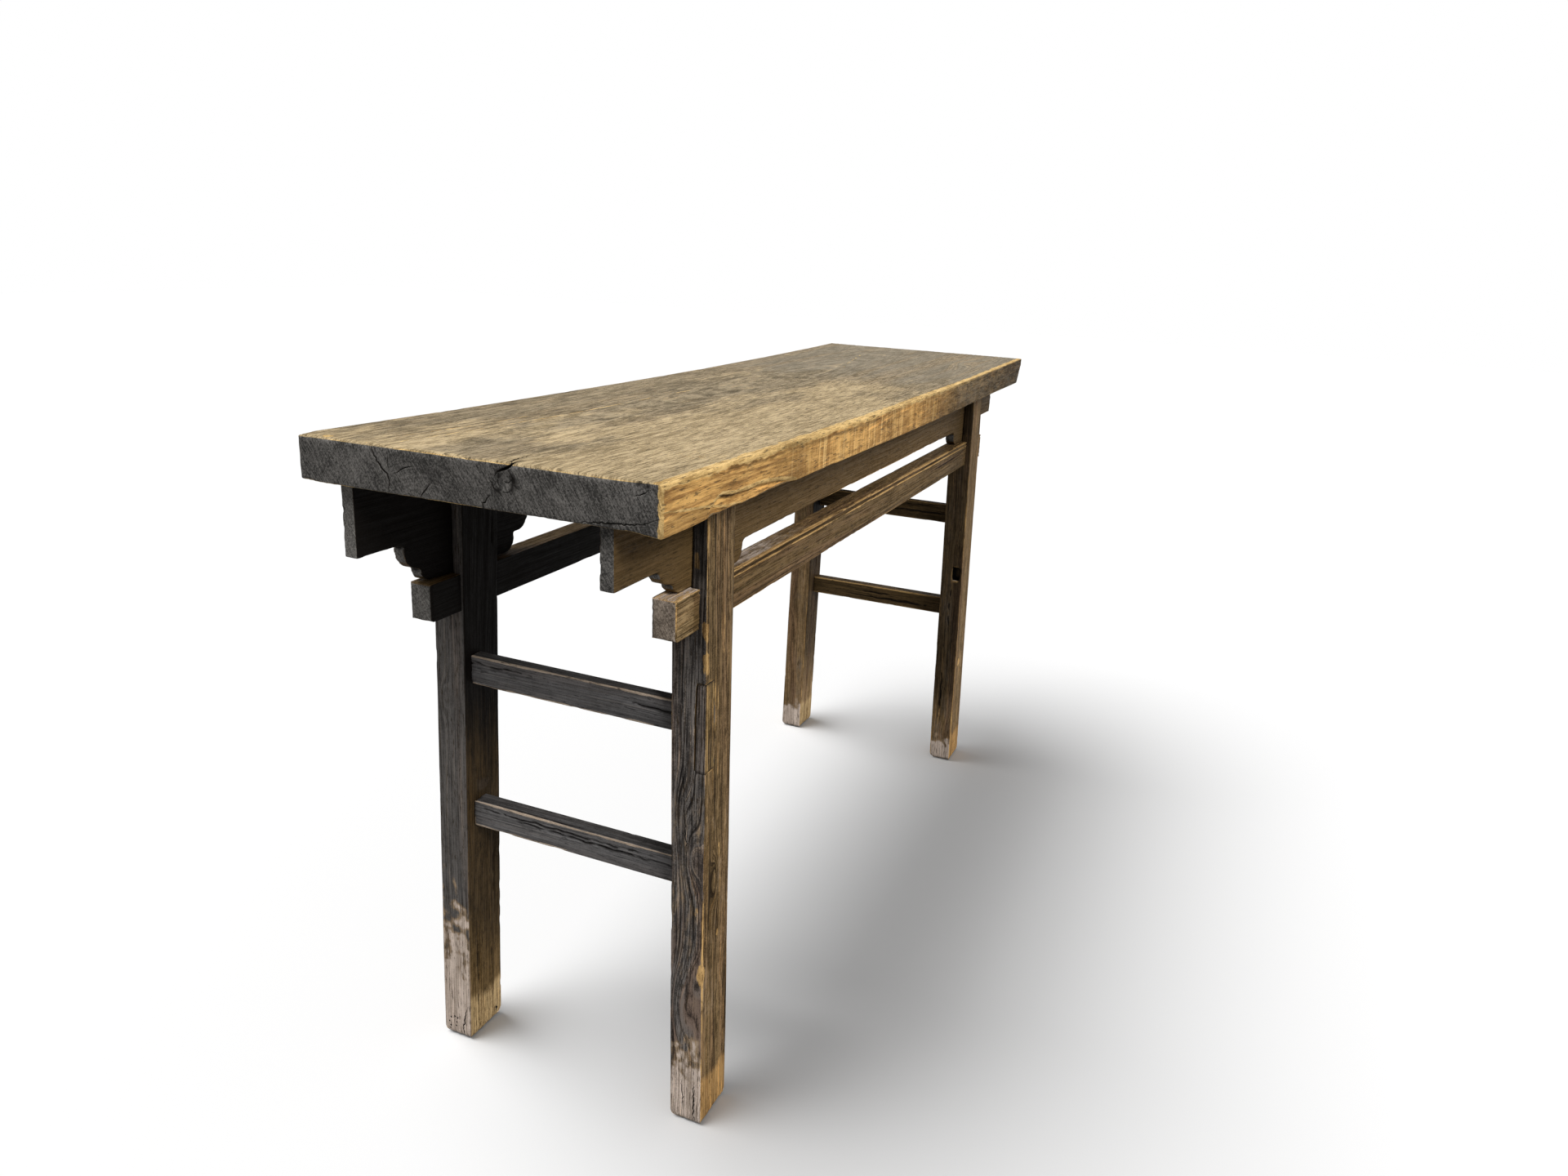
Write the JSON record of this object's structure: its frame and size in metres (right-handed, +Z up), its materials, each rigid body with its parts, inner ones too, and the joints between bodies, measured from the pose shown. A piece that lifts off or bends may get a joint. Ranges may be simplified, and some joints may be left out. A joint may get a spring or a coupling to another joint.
{
  "type": "altar table",
  "caption": "Chinese altar table with a thick single-plank top, recessed square legs slotted for apron and rail, cusped spandrels and stretchers between the legs at each end.",
  "frame": {"origin": "on the floor under the middle of the top plank", "axes": "+X along the table's length, from the near end in the picture to the far one; +Y from the front long side to the back; +Z up"},
  "size_m": [1.536, 0.436, 0.85],
  "materials": {
    "top_wood": "dry, worn, open grain",
    "leg_wood": "dark, worn to pale arrises",
    "patch_wood": "dark, worn",
    "apron_wood": "dark, dry",
    "rail_wood": "dark, worn",
    "stretcher_wood": "dark, worn"
  },
  "bodies": {
    "root": {"top_plank": "top_wood", "front_left_leg": "leg_wood", "front_right_leg": "leg_wood", "back_left_leg": "leg_wood", "back_right_leg": "leg_wood", "front_left_leg_patch": "patch_wood", "front_apron": "apron_wood", "back_apron": "apron_wood", "front_rail": "rail_wood", "back_rail": "rail_wood", "left_upper_stretcher": "stretcher_wood", "left_lower_stretcher": "stretcher_wood", "right_upper_stretcher": "stretcher_wood", "right_lower_stretcher": "stretcher_wood"}
  },
  "joints": []
}
